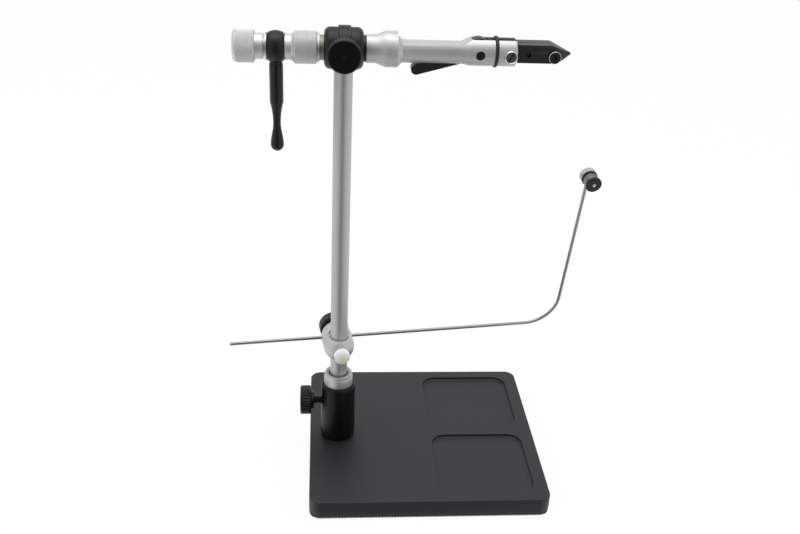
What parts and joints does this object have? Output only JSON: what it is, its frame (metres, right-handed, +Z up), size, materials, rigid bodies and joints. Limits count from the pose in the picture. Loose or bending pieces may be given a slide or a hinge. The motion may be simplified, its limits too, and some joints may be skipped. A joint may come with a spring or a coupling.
{
  "type": "fly tying vise",
  "caption": "Pedestal fly tying vise: weighted tray base, stem, rotary head with crank and drag knob, cam-closed jaws, and a bent-rod bobbin cradle with a roller.",
  "frame": {"origin": "on the table, under the axis of the stem", "axes": "+Z up along the stem, +X from the stem to the jaws along the head's axis, +Y away from the drag knob, which faces the tyer"},
  "size_m": [0.199, 0.1264, 0.2527],
  "materials": {
    "black_plate": "fine black texture coat, satin",
    "black_socket": "black coat, satin",
    "mat_rubber": "ribbed rubber, matte",
    "stem_steel": "fine ground, satin",
    "silver_metal": "turned and blasted, satin",
    "bright_steel": "polished",
    "black_steel": "black oxide, satin",
    "black_anodised": "black anodised, satin",
    "knob_plastic": "moulded, matte",
    "bush_bronze": "sintered bronze, dull",
    "pad_brass": "turned",
    "white_nylon": "moulded nylon",
    "o_ring_rubber": "smooth",
    "black_plastic": "moulded, glossy"
  },
  "bodies": {
    "base": {"base_plate": "black_plate", "base_mat": "mat_rubber", "stem_socket": "black_socket", "socket_bolt": "black_steel"},
    "socket_pad": {"socket_screw_pad": "pad_brass"},
    "socket_screw": {"socket_thumb_screw": "black_steel", "socket_thumb_knob": "knob_plastic"},
    "collar": {"height_collar": "silver_metal", "height_collar_screw": "black_steel"},
    "stem": {"stem": "stem_steel", "head_housing": "black_anodised", "rear_bush": "bush_bronze", "front_bush": "black_plastic"},
    "drag_pad": {"drag_pad": "white_nylon"},
    "drag_screw": {"drag_screw": "black_steel", "drag_knob": "knob_plastic"},
    "spindle": {"spindle": "bright_steel", "knurled_collar": "silver_metal", "knurled_collar_screw": "black_steel", "jaw_head": "silver_metal", "cam_pin": "black_steel", "jaw_screw": "bright_steel", "head_o_ring": "o_ring_rubber"},
    "crank": {"crank_hub": "black_anodised", "crank_handle": "black_plastic"},
    "crank_washer": {"crank_washer": "bright_steel"},
    "lock_knob": {"lock_knob": "silver_metal"},
    "cam_lever": {"cam_lever": "black_steel"},
    "wedge": {"wedge_plunger": "bright_steel"},
    "front_jaw": {"front_jaw": "black_steel"},
    "rear_jaw": {"rear_jaw": "black_steel", "jaw_guide_pin": "bright_steel"},
    "adjust_screw": {"jaw_adjust_screw": "black_steel"},
    "cradle_clamp": {"cradle_clamp": "silver_metal"},
    "clamp_stem_screw": {"clamp_stem_screw": "white_nylon"},
    "clamp_rod_screw": {"clamp_rod_screw": "black_steel", "clamp_rod_knob": "knob_plastic"},
    "cradle_rod": {"cradle_rod": "bright_steel", "roller_hub": "silver_metal", "roller_axle": "bright_steel"},
    "roller": {"roller_drum": "silver_metal", "roller_front_disc": "black_plastic", "roller_ring": "black_plastic"}
  },
  "joints": [
    {"name": "stem_turn", "type": "hinge", "parent": "base", "child": "collar", "pos_m": [0, 0, 0.046], "axis": [0, 0, 1], "continuous": true},
    {"name": "stem_height", "type": "slide", "parent": "collar", "child": "stem", "axis": [0, 0, 1], "range_m": [0, 0.012]},
    {"name": "socket_pad_travel", "type": "slide", "parent": "base", "child": "socket_pad", "axis": [-1, 0, 0], "range_m": [0, 0.0016]},
    {"name": "socket_screw_turn", "type": "hinge", "parent": "socket_pad", "child": "socket_screw", "pos_m": [-0.015, 0, 0.034], "axis": [-1, 0, 0], "range_deg": [0, 720]},
    {"name": "drag_pad_travel", "type": "slide", "parent": "stem", "child": "drag_pad", "axis": [0, -1, 0], "range_m": [0, 0.0016]},
    {"name": "drag_screw_turn", "type": "hinge", "parent": "drag_pad", "child": "drag_screw", "pos_m": [0, -0.012, 0.2417], "axis": [0, -1, 0], "range_deg": [0, 720]},
    {"name": "head_turn", "type": "hinge", "parent": "stem", "child": "spindle", "pos_m": [0, 0, 0.2417], "axis": [1, 0, 0], "continuous": true},
    {"name": "crank_turn", "type": "hinge", "parent": "spindle", "child": "crank", "pos_m": [-0.033, 0, 0.2417], "axis": [1, 0, 0], "continuous": true},
    {"name": "washer_travel", "type": "slide", "parent": "spindle", "child": "crank_washer", "axis": [-1, 0, 0], "range_m": [0, 0.0016]},
    {"name": "lock_knob_turn", "type": "hinge", "parent": "crank_washer", "child": "lock_knob", "pos_m": [-0.048, 0, 0.2417], "axis": [-1, 0, 0], "range_deg": [0, 720]},
    {"name": "lever_swing", "type": "hinge", "parent": "spindle", "child": "cam_lever", "pos_m": [0.06635, 0, 0.2411], "axis": [0, -1, 0], "range_deg": [0, 75]},
    {"name": "wedge_travel", "type": "slide", "parent": "spindle", "child": "wedge", "axis": [-1, 0, 0], "range_m": [0, 0.0011]},
    {"name": "front_jaw_rock", "type": "hinge", "parent": "spindle", "child": "front_jaw", "pos_m": [0.1033, 0, 0.2417], "axis": [0, 0, -1], "range_deg": [0, 1.2]},
    {"name": "rear_jaw_rock", "type": "hinge", "parent": "spindle", "child": "rear_jaw", "pos_m": [0.1033, 0, 0.2417], "axis": [0, 0, 1], "range_deg": [0, 1.2]},
    {"name": "adjust_screw_turn", "type": "hinge", "parent": "rear_jaw", "child": "adjust_screw", "pos_m": [0.1033, -0.005, 0.2409], "axis": [0, -1, 0], "range_deg": [-90, 180]},
    {"name": "cradle_turn", "type": "hinge", "parent": "stem", "child": "cradle_clamp", "pos_m": [0, 0, 0.0713], "axis": [0, 0, 1], "continuous": true},
    {"name": "nylon_screw_turn", "type": "hinge", "parent": "cradle_clamp", "child": "clamp_stem_screw", "pos_m": [0.00162, -0.01189, 0.0713], "axis": [0.1349, -0.9909, 0], "range_deg": [0, 360]},
    {"name": "rod_screw_turn", "type": "hinge", "parent": "cradle_clamp", "child": "clamp_rod_screw", "pos_m": [-0.0027, 0.01982, 0.0713], "axis": [-0.1349, 0.9909, 0], "range_deg": [0, 360]},
    {"name": "rod_reach", "type": "slide", "parent": "cradle_clamp", "child": "cradle_rod", "axis": [0.9909, 0.1349, 0], "range_m": [-0.04, 0.04]},
    {"name": "roller_spin", "type": "hinge", "parent": "cradle_rod", "child": "roller", "pos_m": [0.1329, 0.0023, 0.1726], "axis": [0.1322, -0.9717, -0.1959], "continuous": true}
  ],
  "couplings": [
    {"joint": "socket_pad_travel", "follows": "socket_screw_turn", "m_per_rad": 0.00012732},
    {"joint": "drag_pad_travel", "follows": "drag_screw_turn", "m_per_rad": 0.00012732},
    {"joint": "washer_travel", "follows": "lock_knob_turn", "m_per_rad": 0.00012732},
    {"joint": "wedge_travel", "follows": "lever_swing", "m_per_rad": 0.00084034},
    {"joint": "front_jaw_rock", "follows": "lever_swing", "ratio": 0.016},
    {"joint": "rear_jaw_rock", "follows": "lever_swing", "ratio": 0.016}
  ]
}
